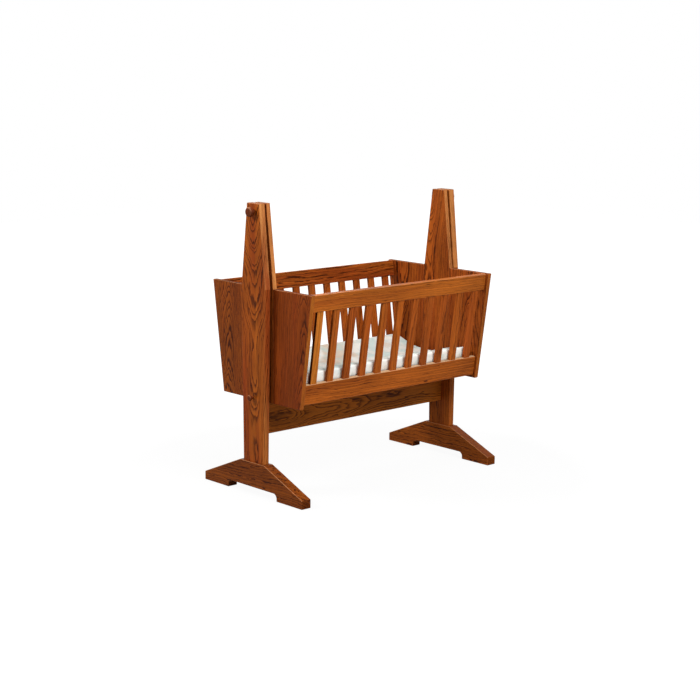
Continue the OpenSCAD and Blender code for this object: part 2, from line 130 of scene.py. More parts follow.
def oak_grain():
    """Plain-sawn red oak. The rings are cones round a pith outside the board: a point's ring number is its
    distance from the pith, bent by slow noise and growing along the board, over the ring's width. Each ring
    opens with a dark band of pores that fades into plain wood. Short fine pores lie along the grain."""
    tree = bpy.data.node_groups.new("oak_grain", "ShaderNodeTree")
    for name, kind in (("Vector", "Vector"), ("Pith", "Vector"), ("Cone", "Float"), ("Sway", "Float"),
                       ("Ring", "Float"), ("Wander", "Float"), ("Crinkle", "Float"), ("Contrast", "Float"),
                       ("Red", "Float"), ("End", "Float"), ("Painted_End_Sheen", "Float"), ("Edge_Wear_And_Highlight", "Float"),
                       ("Light", "Color"), ("Dark", "Color")):
        tree.interface.new_socket(name, in_out="INPUT", socket_type="NodeSocket" + kind)
    for name, kind in (("Color", "Color"), ("Roughness", "Float"), ("Height", "Float")):
        tree.interface.new_socket(name, in_out="OUTPUT", socket_type="NodeSocket" + kind)
    given = tree.nodes.new("NodeGroupInput").outputs
    out = tree.nodes.new("NodeGroupOutput").inputs
    place = given["Vector"]
    along = add(tree, "SeparateXYZ", place).outputs[2]

    # The pith's own wander, in swings some 150 mm long, and crinkles 40 mm and 8 mm long
    slow = add(tree, "VectorMath", place, (7.0, 7.0, 1.9), operation="MULTIPLY")
    drift = add(tree, "TexNoise", {"Vector": slow, "Scale": 1.0, "Detail": 2.0, "Roughness": 0.45})
    drift = add(tree, "VectorMath", drift.outputs["Color"], (0.5, 0.5, 0.5), operation="SUBTRACT")
    drift = add(tree, "VectorMath", drift, given["Wander"], operation="SCALE")
    bent = add(tree, "VectorMath", place, drift, operation="ADD")
    off = add(tree, "VectorMath", bent, given["Pith"], operation="SUBTRACT")
    off = add(tree, "VectorMath", off, (1.0, 1.0, 0.0), operation="MULTIPLY")
    radius = add(tree, "VectorMath", off, operation="LENGTH")
    swing = add(tree, "Math", along, 1.9, operation="MULTIPLY")
    swing = add(tree, "TexNoise", {"W": swing, "Scale": 1.0, "Detail": 1.0}, noise_dimensions="1D")
    swing = add(tree, "Math", swing, 0.5, operation="SUBTRACT")
    swing = add(tree, "Math", swing, given["Sway"], operation="MULTIPLY")
    swing = add(tree, "Math", along, given["Cone"], swing, operation="MULTIPLY_ADD")
    radius = add(tree, "Math", radius, swing, operation="ADD")
    ring = add(tree, "Math", radius, given["Ring"], operation="DIVIDE")
    uneven = add(tree, "Math", ring, 0.6, operation="MULTIPLY")
    uneven = add(tree, "TexNoise", {"W": uneven, "Scale": 1.0, "Detail": 0.0}, noise_dimensions="1D")
    ring = add(tree, "Math", uneven, 1.6, ring, operation="MULTIPLY_ADD")
    crinkle = add(tree, "VectorMath", place, (34.0, 34.0, 13.0), operation="MULTIPLY")
    crinkle = add(tree, "TexNoise", {"Vector": crinkle, "Scale": 1.0, "Detail": 2.0, "Roughness": 0.6})
    ring = add(tree, "Math", crinkle, given["Crinkle"], ring, operation="MULTIPLY_ADD")
    feather = add(tree, "VectorMath", place, (170.0, 170.0, 16.0), operation="MULTIPLY")
    feather = add(tree, "TexNoise", {"Vector": feather, "Scale": 1.0, "Detail": 2.0, "Roughness": 0.6})
    ring = add(tree, "Math", feather, 0.75, ring, operation="MULTIPLY_ADD")
    early = add(tree, "ValToRGB", add(tree, "Math", ring, operation="FRACT"))
    stops = early.color_ramp
    for place_at, shade in ((0.0, 0.1), (0.06, 1.0), (0.2, 0.85), (0.42, 0.22), (0.9, 0.0)):
        stop = stops.elements[0] if place_at == 0.0 else stops.elements.new(place_at)
        stop.position, stop.color = place_at, (shade, shade, shade, 1.0)
    stops.elements[-1].position, stops.elements[-1].color = 1.0, (0.1, 0.1, 0.1, 1.0)

    # Pores 0.3 mm wide and 5 to 20 mm long, and fibres between them
    pore = add(tree, "VectorMath", place, (1100.0, 1100.0, 45.0), operation="MULTIPLY")
    pore = add(tree, "TexNoise", {"Vector": pore, "Scale": 1.0, "Detail": 1.0})
    pore = add(tree, "MapRange", pore, 0.54, 0.66)
    in_early = add(tree, "Math", early, 0.75, 0.2, operation="MULTIPLY_ADD")
    pore = add(tree, "Math", pore, in_early, operation="MULTIPLY")
    fibre = add(tree, "VectorMath", place, (210.0, 210.0, 4.0), operation="MULTIPLY")
    fibre = add(tree, "TexNoise", {"Vector": fibre, "Scale": 1.0, "Detail": 3.0, "Roughness": 0.65})
    cloud = add(tree, "VectorMath", place, (10.0, 10.0, 2.2), operation="MULTIPLY")
    cloud = add(tree, "TexNoise", {"Vector": cloud, "Scale": 1.0, "Detail": 3.0})
    share = add(tree, "Math", fibre, 1.1, 0.42, operation="MULTIPLY_ADD")
    share = add(tree, "Math", early, share, operation="MULTIPLY")
    share = add(tree, "Math", share, given["Contrast"], 0.1, operation="MULTIPLY_ADD")
    centred = add(tree, "Math", fibre, 0.5, operation="SUBTRACT")
    share = add(tree, "Math", centred, 0.9, share, operation="MULTIPLY_ADD")
    centred = add(tree, "Math", cloud, 0.5, operation="SUBTRACT")
    share = add(tree, "Math", centred, 1.1, share, operation="MULTIPLY_ADD")
    # End grain drinks more of the stain
    share = add(tree, "Math", given["End"], 0.4, share, operation="MULTIPLY_ADD", use_clamp=True)
    # The stain takes redder in long streaks some 50 mm wide
    patch = add(tree, "VectorMath", place, (21.0, 21.0, 1.3), operation="MULTIPLY")
    patch = add(tree, "TexNoise", {"Vector": patch, "Scale": 1.0, "Detail": 1.0, "Distortion": 0.3})
    patch = add(tree, "MapRange", patch, 0.42, 0.7)
    patch = add(tree, "Math", patch, given["Red"], operation="MULTIPLY")
    colour = add(tree, "Mix", patch, given["Light"], linear("#963a16"), data_type="RGBA")
    colour = add(tree, "Mix", share, colour, given["Dark"], data_type="RGBA")
    filled = add(tree, "Math", pore, 0.5, operation="MULTIPLY")
    colour = add(tree, "Mix", filled, colour, linear("#301203"), data_type="RGBA")
    # A rounded edge is painted paler: partly sanding that thins the stain, and where the edge looks up a painted
    # highlight
    wear_and_highlight = add(tree, "Math", cloud, 1.2, -0.1, operation="MULTIPLY_ADD")
    wear_and_highlight = add(tree, "Math", given["Edge_Wear_And_Highlight"], wear_and_highlight, operation="MULTIPLY")
    colour = add(tree, "Mix", wear_and_highlight, colour, linear("#d89a6b"), data_type="RGBA")
    # End grain is painted a pale grey-brown: a painted reflection of the bright room on its lacquer
    colour = add(tree, "Mix", given["Painted_End_Sheen"], colour, linear("#94856c"), data_type="RGBA")
    tree.links.new(colour.outputs[2], out["Color"])
    rough = add(tree, "Math", pore, 0.22, 0.42, operation="MULTIPLY_ADD")
    tree.links.new(rough.outputs[0], out["Roughness"])
    height = add(tree, "Math", early, -0.3, operation="MULTIPLY")
    height = add(tree, "Math", pore, -1.0, height, operation="MULTIPLY_ADD")
    tree.links.new(height.outputs[0], out["Height"])
    return tree


OAK = oak_grain()
LIGHT_OAK, GOLD_OAK, RED_OAK, DARK_OAK = "#b9601f", "#c27a2c", "#8c3810", "#421703"
# The first colour is partly the paler tone of the narrow sides of posts and arms and, where those sides look up, a
# painted highlight.
# The second colour is a painted reflection of the white mattress, for the bottom rail's upper face.
SIDE_HIGHLIGHT_OAK, MATTRESS_REFLECTION_OAK = "#dd9352", "#e6bf94"


def mixed(a, b, share):
    """The hex colour this share of the way from a to b."""
    pair = zip((int(a[k:k + 2], 16) for k in (1, 3, 5)), (int(b[k:k + 2], 16) for k in (1, 3, 5)))
    return "#" + "".join(f"{round(x + (y - x) * share):02x}" for x, y in pair)


def facing(tree, normal, way):
    """1 where the surface looks along this direction, forwards or backwards, and 0 where it looks across it."""
    along = add(tree, "VectorMath", normal, way, operation="DOT_PRODUCT")
    along = add(tree, "Math", along, operation="ABSOLUTE")
    return add(tree, "MapRange", along, 0.6, 0.95)


def stained_oak(name, to_grain, pith=(0.0, 0.1), cone=0.03, sway=0.03, ring=0.0042, wander=0.02, crinkle=1.3,
                contrast=0.75, red=0.3, shade=0.0, gold=0.0, streaks=0.4, end=1.0, sides=(0.0, 0.0),
                side_colour=SIDE_HIGHLIGHT_OAK, gloss=0.05):
    """Red oak under a reddish brown stain and satin lacquer: the stain sinks into the open pores and leaves
    them dark, and the lacquer gives a soft sheen. shade darkens the board, gold and red turn its colour,
    streaks is how much redder the stain takes in places, and end is 1 for dark end grain and -1 for end
    grain painted a pale grey-brown, a painted reflection of the bright room on its lacquer.
    sides is how far the narrow faces along the grain are plainer and turn to side_colour, where they look a
    little down and where they look a little up. The default side_colour is partly the sides' paler tone and,
    on sides that look up, a painted highlight; a dark side_colour is painted shade, and the bottom rail's is a
    painted reflection of the mattress."""
    material = bpy.data.materials.new(name)
    material.use_nodes = True
    tree = material.node_tree
    shader = tree.nodes["Principled BSDF"]
    place = add(tree, "TexCoord").outputs
    mapping = add(tree, "Mapping", {"Vector": place["Object"], "Rotation": to_grain.to_3x3().to_euler(),
                                    "Location": to_grain.to_translation()})
    ends, narrow = (facing(tree, place["Normal"], to_grain.to_3x3().row[way]) for way in (2, 0))
    height = add(tree, "SeparateXYZ", place["Normal"]).outputs[2]
    # Where the surface looks up the pale edge colour comes in full, a painted highlight for light from above; on
    # upright edges only a little of it stays, as wear
    up = add(tree, "MapRange", height, 0.1, 0.7, 0.12, 1.0)
    # Narrow faces take side_colour by a share running from the first of sides, looking a little down, to the
    # second, looking a little up; a paler share on up-facing sides is a painted highlight
    narrow = add(tree, "Math", narrow, add(tree, "MapRange", height, -0.01, 0.06, *sides),
                 operation="MULTIPLY")
    eased = add(tree, "Attribute", attribute_name="eased").outputs["Fac"]
    light = mixed(mixed(mixed(LIGHT_OAK, GOLD_OAK, gold), RED_OAK, red), DARK_OAK, shade)
    grain = add(tree, "Group", {
        "Vector": mapping, "Pith": (*pith, 0.0), "Cone": cone, "Sway": sway, "Ring": ring,
        "Wander": wander, "Crinkle": crinkle, "Red": streaks,
        "Contrast": add(tree, "Math", narrow, -0.6 * contrast, contrast, operation="MULTIPLY_ADD"),
        "End": add(tree, "Math", ends, max(end, 0.0), operation="MULTIPLY"),
        "Painted_End_Sheen": add(tree, "Math", ends, max(-end, 0.0), operation="MULTIPLY"),
        "Edge_Wear_And_Highlight": add(tree, "Math", eased, up, operation="MULTIPLY"),
        "Light": add(tree, "Mix", narrow, linear(light), linear(side_colour), data_type="RGBA"),
        "Dark": linear(mixed(DARK_OAK, "#341204", shade))}, node_tree=OAK)
    bump = add(tree, "Bump", {"Height": grain.outputs["Height"], "Strength": 0.35, "Distance": 0.0004})
    tree.links.new(grain.outputs["Color"], shader.inputs["Base Color"])
    rough = add(tree, "Math", ends, 0.35, grain.outputs["Roughness"], operation="MULTIPLY_ADD")
    tree.links.new(rough.outputs[0], shader.inputs["Roughness"])
    tree.links.new(bump.outputs[0], shader.inputs["Normal"])
    shader.inputs["IOR"].default_value = 1.5
    shader.inputs["Specular IOR Level"].default_value = gloss
    return material


def plain_finish(name, colour, roughness, metallic=0.0, specular=0.5):
    """A principled material with nothing patterned yet, and its tree and shader."""
    material = bpy.data.materials.new(name)
    material.use_nodes = True
    shader = material.node_tree.nodes["Principled BSDF"]
    for key, value in (("Base Color", linear(colour)), ("Roughness", roughness), ("Metallic", metallic),
                       ("Specular IOR Level", specular), ("IOR", 1.5)):
        shader.inputs[key].default_value = value
    return material, material.node_tree, shader


def lengthwise(name, colours, scale, roughness, **more):
    """A finish whose pattern is drawn out along X, Y or Z: scale is how fine it is along each, per metre.
    Noise turns one colour into the other, lifts the surface a little and spreads its roughness."""
    material, tree, shader = plain_finish(name, colours[0], roughness, **more)
    vector = add(tree, "VectorMath", add(tree, "TexCoord").outputs["Object"], scale, operation="MULTIPLY")
    noise = add(tree, "TexNoise", {"Vector": vector, "Scale": 1.0, "Detail": 2.0})
    colour = add(tree, "Mix", noise, linear(colours[0]), linear(colours[1]), data_type="RGBA")
    tree.links.new(colour.outputs[2], shader.inputs["Base Color"])
    lift = add(tree, "Bump", {"Height": noise, "Strength": 0.2, "Distance": 0.0003})
    tree.links.new(lift.outputs[0], shader.inputs["Normal"])
    spread = add(tree, "MapRange", noise, {"To Min": roughness - 0.06, "To Max": roughness + 0.08})
    tree.links.new(spread.outputs[0], shader.inputs["Roughness"])
    return material


# Bare maple: pale, close-grained and dull. Birch ply: paler still, with a broad rotary-cut figure.
BARE_WOOD_X = lengthwise("bare_maple_along_x", ("#b98d5c", "#9f7242"), (3.0, 160.0, 160.0), 0.6, specular=0.3)
BARE_WOOD_Y = lengthwise("bare_maple_along_y", ("#b98d5c", "#9f7242"), (160.0, 3.0, 160.0), 0.6, specular=0.3)
BIRCH_PLY = lengthwise("birch_ply", ("#cda876", "#b98f5b"), (5.0, 40.0, 500.0), 0.55, specular=0.3)
# Zinc-plated steel: cool grey with faint turning marks. Brass: cast and turned, yellow and a little dull.
ZINC_STEEL = lengthwise("zinc_plated_steel", ("#a9abae", "#8d9094"), (900.0, 900.0, 900.0), 0.36, metallic=1.0)
TURNED_BRASS = lengthwise("turned_brass", ("#c9a455", "#b08a3c"), (900.0, 900.0, 900.0), 0.34, metallic=1.0)
# Nylon: moulded, milky and slightly waxy.
MILKY_NYLON = lengthwise("milky_nylon", ("#e6e2d6", "#dad5c6"), (120.0, 120.0, 120.0), 0.45)


# ---------------------------------------------------------------- boards
CORNER_STEPS, EASED_STEPS, HOLE_SIDES = 6, 5, 32      # points on a corner, on an eased edge and round a hole


def rounded(points, radii):
    """An outline with its corners turned to arcs, and the outward normal at each point.
    At a corner the two edges are cut back by radius times the tangent of half the turn, and an arc round
    the centre between them joins the cuts. A corner that turns inwards has its centre outside."""
    here = np.asarray(points, float)
    radii = np.broadcast_to(np.asarray(radii, float), len(here))
    before, after = here - np.roll(here, 1, 0), np.roll(here, -1, 0) - here
    before /= np.linalg.norm(before, axis=1)[:, None]
    after /= np.linalg.norm(after, axis=1)[:, None]
    turn = np.arctan2(before[:, 0] * after[:, 1] - before[:, 1] * after[:, 0], (before * after).sum(1))
    out = np.stack([before[:, 1], -before[:, 0]], 1)
    side = np.sign(turn)[:, None]
    cut = here - before * (radii * np.tan(np.abs(turn) / 2))[:, None]
    centre = cut - out * radii[:, None] * side
    angle = np.arctan2(out[:, 1], out[:, 0])[:, None] + turn[:, None] * np.linspace(0, 1, CORNER_STEPS)
    normal = np.stack([np.cos(angle), np.sin(angle)], 2)
    arcs = centre[:, None] + normal * (radii[:, None] * side)[:, None]
    return arcs.reshape(-1, 2), normal.reshape(-1, 2)


def piece(name, points, faces, normals=None, eased=None):
    """A new object at the origin. normals holds one vector for each corner of each face, in their order, and
    eased one number for each point: how near it is to the crown of a rounded edge."""
    mesh = bpy.data.meshes.new(name)
    mesh.from_pydata(np.asarray(points).tolist(), [], faces)
    mesh.shade_smooth()
    if normals is not None:
        mesh.normals_split_custom_set(np.asarray(normals, float).tolist())
    if eased is not None:
        mesh.attributes.new("eased", "FLOAT", "POINT").data.foreach_set("value", np.asarray(eased, float))
    made = bpy.data.objects.new(name, mesh)
    bpy.context.scene.collection.objects.link(made)
    return made


def caps(loops):
    """Triangles between an outline and the holes in it, all turned the way of an outline drawn anticlockwise."""
    flat = np.concatenate(loops)
    found = np.array(tessellate_polygon([[(*p, 0.0) for p in loop] for loop in loops]), int)
    a, b, c = (flat[found[:, k]] for k in range(3))
    area = (b[:, 0] - a[:, 0]) * (c[:, 1] - a[:, 1]) - (b[:, 1] - a[:, 1]) * (c[:, 0] - a[:, 0])
    found[area < 0] = found[area < 0][:, ::-1]
    return found[np.abs(area) > 1e-12]


def board(name, outline, radii, thickness, ease, place, holes=()):
    """A board with eased edges: its outline, carried through its thickness along a quarter round at each face.
    On the round at angle q the outline is drawn in by ease times one less the cosine of q, and lies ease times
    one less the sine of q under the face. A corner's radius is a little over ease at least, so that drawing in
    doesn't fold it. holes are (a, b, radius, depth) bored from the far face, and a depth of the whole thickness
    goes through. place turns the board's own axes into the cradle's."""
    edge, out = rounded(outline, np.maximum(radii, ease * 1.05))
    q = np.linspace(0, math.pi / 2, EASED_STEPS)
    inset = ease * (1 - np.cos(np.concatenate([q[::-1], q])))
    height = np.concatenate([ease * (1 - np.sin(q[::-1])), thickness - ease * (1 - np.sin(q))])
    tip = np.concatenate([-np.sin(q[::-1]), np.sin(q)])
    rows, n = len(inset), len(edge)
    flat = edge[None] - out[None] * inset[:, None, None]
    points = np.concatenate([flat, np.broadcast_to(height[:, None, None], (rows, n, 1))], 2).reshape(-1, 3)
    level = np.sqrt(1 - tip ** 2)
    lean = np.concatenate([out[None] * level[:, None, None], np.broadcast_to(tip[:, None, None], (rows, n, 1))],
                          2).reshape(-1, 3)
    i, j = np.meshgrid(np.arange(rows - 1), np.arange(n), indexing="ij")
    k = (j + 1) % n
    walls = np.stack([i * n + j, i * n + k, (i + 1) * n + k, (i + 1) * n + j], 2).reshape(-1, 4)
    faces, normals = walls.tolist(), lean[walls].reshape(-1, 3)
    eased = np.repeat(np.sin(2 * np.concatenate([q[::-1], q])), n)
    near_ids, far_ids = [np.arange(n)], [np.arange(n) + (rows - 1) * n]
    near, far = [flat[0]], [flat[-1]]
    step = np.arange(HOLE_SIDES)
    turn = step * 2 * math.pi / HOLE_SIDES
    circle = np.stack([np.cos(turn), np.sin(turn)], 1)
    for a, b, radius, depth in holes:
        ring = circle * radius + (a, b)
        top, low = len(points) + step, len(points) + len(step) + step
        level_at = np.ones((len(step), 1))
        points = np.concatenate([points, np.hstack([ring, level_at * thickness]),
                                 np.hstack([ring, level_at * (thickness - depth)])])
        faces += np.stack([top, np.roll(top, -1), np.roll(low, -1), low], 1).tolist()
        inward = np.hstack([-circle, level_at * 0])
        after = np.roll(inward, -1, 0)
        normals = np.concatenate([normals, np.stack([inward, after, after, inward], 1).reshape(-1, 3)])
        far.append(ring)
        far_ids.append(top)
        if depth >= thickness:
            near.append(ring)
            near_ids.append(low)
        else:
            faces.append(low.tolist())
            normals = np.concatenate([normals, np.tile([0.0, 0.0, 1.0], (len(step), 1))])
    for loops, ids, up in ((near, near_ids, -1.0), (far, far_ids, 1.0)):
        found = np.concatenate(ids)[caps(loops)]
        faces += (found if up > 0 else found[:, ::-1]).tolist()
        normals = np.concatenate([normals, np.tile([0.0, 0.0, up], (len(found) * 3, 1))])
    turned = np.array(place)[:3, :3]
    eased = np.concatenate([eased, np.zeros(len(points) - len(eased))])
    return piece(name, points @ turned.T + np.array(place)[:3, 3], faces, normals @ turned.T, eased)


def axes(origin, a, b, c):
    """A board's own axes in the cradle's, as columns, and where they start."""
    return Matrix([[a[k], b[k], c[k], origin[k]] for k in range(3)] + [[0, 0, 0, 1]])


X, Y, Z = (1, 0, 0), (0, 1, 0), (0, 0, 1)
GRAIN_UP = Matrix([[1, 0, 0, 0], [0, 0, -1, 0], [0, 1, 0, 0], [0, 0, 0, 1]])      # grain along b
GRAIN_LONG = Matrix([[0, 1, 0, 0], [0, 0, 1, 0], [1, 0, 0, 0], [0, 0, 0, 1]])     # grain along a


def oak_board(node, body, outline, thickness, place, grain, ease=2.0 * MM, radii=0.0, holes=(), seed=0.0, **look):
    """An oak board that stands for this node. seed slides its pattern along the grain."""
    made = board(node + "_board", outline, radii, thickness, ease, place, holes)
    to_grain = Matrix.Translation((0, 0, seed)) @ grain @ place.inverted()
    made.data.materials.append(stained_oak("oak_" + node, to_grain, **look))
    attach(made, body)
    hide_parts(node)


def across_end(x):
    """Axes of a board that stands across an end: Y, Z and X, starting at this x."""
    return axes((x, 0, 0), Y, Z, X)


def side_axes(sign):
    """Axes of a side: along it, up its slope and outwards, from its inner top edge. sign is -1 in front."""
    up = (0, sign * math.sin(LEAN), math.cos(LEAN))
    out = (0, sign * math.cos(LEAN), -math.sin(LEAN))
    return axes((0, sign * SIDE_Y, RIM_Z), (-sign, 0, 0), up, out)


FOOT = [(-FOOT_L / 2, 0), (-ARCH_L / 2, 0), (-ARCH_L / 2, ARCH_H), (ARCH_L / 2, ARCH_H), (ARCH_L / 2, 0),
        (FOOT_L / 2, 0), (FOOT_L / 2, FOOT_END_H), (FOOT_RIDGE_L / 2, FOOT_H), (-FOOT_RIDGE_L / 2, FOOT_H),
        (-FOOT_L / 2, FOOT_END_H)]
FOOT_RADII = [3 * MM, 2 * MM, ARCH_R, ARCH_R, 2 * MM, 3 * MM, 4 * MM, 4 * MM, 4 * MM, 4 * MM]
SUNK = 8 * MM      # a post goes on this far into its foot, out of sight
POST = [(-POST_FOOT_W / 2, FOOT_H - SUNK), (POST_FOOT_W / 2, FOOT_H - SUNK), (POST_KNEE_W / 2, RIM_Z),
        (POST_TOP_W / 2, STAND_H), (-POST_TOP_W / 2, STAND_H), (-POST_KNEE_W / 2, RIM_Z)]
ARM = [(-ARM_W / 2, END_Z), (ARM_W / 2, END_Z), (ARM_W / 2, RIM_Z), (ARM_TOP_W / 2, STAND_H),
       (-ARM_TOP_W / 2, STAND_H), (-ARM_W / 2, RIM_Z)]
FRONT_WING = [(-BASE_W / 2, END_Z), (-ARM_W / 2, END_Z), (-ARM_W / 2, RIM_Z), (-RIM_W / 2, RIM_Z)]
BACK_WING = [(-a, b) for a, b in FRONT_WING[::-1]]


def flat_bar(low_a, high_a, low_b, high_b):
    """A rectangle's outline."""
    return [(low_a, low_b), (high_a, low_b), (high_a, high_b), (low_a, high_b)]


def make_stand():
    """Feet, posts and stretcher. A post's bore for its bushing goes through, and so does the left post's bore for
    the lock pin."""
    # The feet carry painted light and shade: the left foot is painted darker all over for the dim light near the
    # floor, and the right foot is painted lighter on its faces and darker on its narrow top faces, to give the
    # light and shade it has under the cradle.
    for side, x, seed, shade, painted_shade_side in (("left", -POST_MID, 3.1, 0.33, 0.1),
                                            ("right", POST_MID, 8.4, 0.02, 0.65)):
        oak_board(side + "_foot", "stand", FOOT, FOOT_T, across_end(x - FOOT_T / 2), GRAIN_LONG, 2.5 * MM,
                  FOOT_RADII, seed=seed, pith=(-0.06, -0.04), cone=0.03, sway=0.04, ring=0.0046, wander=0.03,
                  crinkle=2.2, contrast=1.15, shade=shade, red=0.0, gold=0.1, streaks=0.2,
                  sides=(painted_shade_side, painted_shade_side), side_colour=DARK_OAK)
    bore = (0, PIVOT_Z, BOLT_HOLE_R, POST_T)
    # The posts' narrow sides are painted paler where they look up, a painted highlight, and the end grain of their
    # tops is painted a pale grey-brown, a painted reflection.
    oak_board("left_post", "stand", POST, POST_T, across_end(-POST_OUT), GRAIN_UP, 2.5 * MM, 3 * MM,
              [bore, (0, LOCK_Z, LOCK_HOLE_R, POST_T)], 1.7, pith=(-0.004, 0.055), cone=-0.1, sway=0.09,
              ring=0.0068, wander=0.05, crinkle=0.9, contrast=0.85, red=0.05, gold=0.08, streaks=0.8, end=-0.3,
              sides=(0.3, 1.0))
    oak_board("right_post", "stand", POST, POST_T, across_end(POST_IN), GRAIN_UP, 2.5 * MM, 3 * MM, [bore], 5.2,
              pith=(0.03, -0.09), cone=0.03, red=0.05, gold=0.1, shade=0.08, end=-0.3, sides=(0.05, 0.8))
    oak_board("stretcher", "stand", flat_bar(-POST_MID, POST_MID, STRETCHER_LOW, STRETCHER_TOP), STRETCHER_T,
              axes((0, STRETCHER_T / 2, 0), X, Z, (0, -1, 0)), GRAIN_LONG, 2 * MM, seed=2.2, pith=(0.29, 0.1),
              cone=0.025, sway=0.06, ring=0.0048, wander=0.03, contrast=0.75, red=0.0, gold=0.4,
              shade=-0.18, streaks=0.2)


def make_ends():
    """Each end of the cradle: an arm between two wings. The left arm has the blind hole of the lock pin."""
    any_wing = {"ring": 0.005, "sides": (1.0, 1.0), "side_colour": mixed(LIGHT_OAK, GOLD_OAK, 0.4)}
    # The arms' narrow sides are painted paler where they look up, a painted highlight, and the end grain of their
    # tops is painted a pale grey-brown, a painted reflection.
    for side, x, seed, arm, wings, front, back in (
            ("left", -END_OUT, 0.6, {"pith": (0.01, 0.09), "end": -0.3, "sides": (0.1, 0.8)},
             {"red": 0.55, "shade": 0.1},
             {"pith": (-0.25, 0.09), "cone": 0.05, "wander": 0.03, "contrast": 0.85, "ring": 0.0036},
             {"pith": (0.2, 0.06), "cone": 0.13, "ring": 0.004, "wander": 0.06, "crinkle": 1.6,
              "contrast": 1.15, "red": 0.3, "gold": 0.2}),
            ("right", END_IN, 6.3, {"pith": (0.045, 0.05), "cone": -0.07, "ring": 0.0045, "wander": 0.03,
                                    "contrast": 0.9, "red": 0.2, "end": -0.3, "sides": (0.1, 0.8)},
             {"red": 0.2, "shade": 0.04},
             {"pith": (-0.2, 0.04), "cone": 0.06, "wander": 0.05, "crinkle": 1.4, "contrast": 1.0},
             {"pith": (0.2, 0.05), "cone": -0.06, "wander": 0.05, "crinkle": 1.4, "contrast": 1.0})):
        place, holes = across_end(x), []
        if side == "left":      # bored from its outer face, so this board is drawn from inside out
            place = axes((-END_IN, 0, 0), (0, -1, 0), Z, (-1, 0, 0))
            holes = [(0, LOCK_Z, LOCK_CUP_R, LOCK_HOLE_DEEP)]
        oak_board(side + "_arm", "cradle", ARM, BOARD_T, place, GRAIN_UP, 2 * MM, 2 * MM, holes, seed, **arm)
        for wing, outline, own, slide in (("front", FRONT_WING, front, 2.0), ("back", BACK_WING, back, 4.0)):
            oak_board(f"{side}_{wing}_wing", "cradle", outline, BOARD_T, across_end(x), GRAIN_UP, 2 * MM,
                      seed=seed + slide, **{**any_wing, **wings, **own})


def make_sides():
    """Each side: two rails and the slats between them, which go on into the rails as in the real joint."""
    rng = np.random.default_rng(11)
    for side, sign in (("front", -1), ("back", 1)):
        place = side_axes(sign)
        slat_place = place @ Matrix.Translation((0, 0, (BOARD_T - SLAT_T) / 2))      # in the middle of the rails
        if sign < 0:
            rail_look = {"wander": 0.03, "contrast": 0.8, "crinkle": 1.6, "streaks": 0.6, "red": 0.0,
                         "shade": -0.1}
        else:
            rail_look = {"wander": 0.06, "contrast": 1.1, "crinkle": 0.9, "streaks": 0.9, "red": 0.1,
                         "shade": 0.02}
        # In the photograph the bottom rail's upper edge is pale beside the mattress; here that paleness is painted
        # on its upper face, a painted reflection of the white mattress
        for rail, low, high, seed, gold, mattress_reflection in (
                ("top", -TOP_RAIL_H, 0, 2.7, 0.15, 0.0),
                ("bottom", -SIDE_H, BOTTOM_RAIL_H - SIDE_H, 4.4, 0.0, 1.0)):
            oak_board(f"{side}_{rail}_rail", "cradle", flat_bar(-END_IN, END_IN, low, high), BOARD_T, place,
                      GRAIN_LONG, 2.2 * MM, seed=seed + sign, pith=(low - 0.09, 0.07), cone=0.012, ring=0.0042,
                      gold=gold if sign < 0 else 0.0, sides=(0.0, mattress_reflection), side_colour=MATTRESS_REFLECTION_OAK,
                      **rail_look)
        low, high = BOTTOM_RAIL_H - SIDE_H - SLAT_HOUSING, SLAT_HOUSING - TOP_RAIL_H
        for k in range(SLAT_COUNT):
            start = -END_IN + SLAT_END_GAP + k * SLAT_PITCH
            heart = (start + rng.uniform(-0.08, 0.11), rng.uniform(0.06, 0.12))
            painted_shade = 0.5 ** k if sign < 0 else 0.0    # painted shade: the first slats' narrow faces, deep in shadow, are painted dark
            oak_board(f"{side}_slat_{k + 1}", "cradle", flat_bar(start, start + SLAT_W, low, high), SLAT_T,
                      slat_place, GRAIN_UP, 1.5 * MM, seed=rng.uniform(0, 40), pith=heart,
                      cone=rng.uniform(-0.04, 0.04), ring=rng.uniform(0.004, 0.006), contrast=0.5, streaks=0.25,
                      gold=(rng.uniform(0.0, 0.35) * (1 - k / (SLAT_COUNT - 1)) + 0.3 * (k == 0)
                            if sign < 0 else 0.0),
                      red=rng.uniform(0.0, 0.4) + 0.015 * k,
                      shade=(-0.3 if k == 0 else -0.12) if sign < 0 else 0.15,
                      sides=(painted_shade, painted_shade), side_colour=DARK_OAK)


make_stand()
make_ends()
make_sides()


# ---------------------------------------------------------------- what the frame already shapes well
KEPT = {"foot_lag_screws": ZINC_STEEL, "pivot_bolts": ZINC_STEEL, "cleat_screws": ZINC_STEEL,
        "pivot_inserts": TURNED_BRASS, "post_bushings": MILKY_NYLON, "pivot_spacers": MILKY_NYLON,
        "wing_dowels": BARE_WOOD_Y, "rail_dowels": BARE_WOOD_X,
        "front_cleat": BARE_WOOD_X, "back_cleat": BARE_WOOD_X, "left_cleat": BARE_WOOD_Y,
        "right_cleat": BARE_WOOD_Y, "bottom_board": BIRCH_PLY}
# A short length of the lock pin shows between its knob and the post, and is stained like the knob
KEPT["lock_pin"] = stained_oak("oak_lock_pin", GRAIN_LONG, pith=(0.0, 0.02), ring=0.004, shade=0.3)
for node, finish in KEPT.items():
    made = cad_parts[node]
    made.data.materials.clear()
    made.data.materials.append(finish)


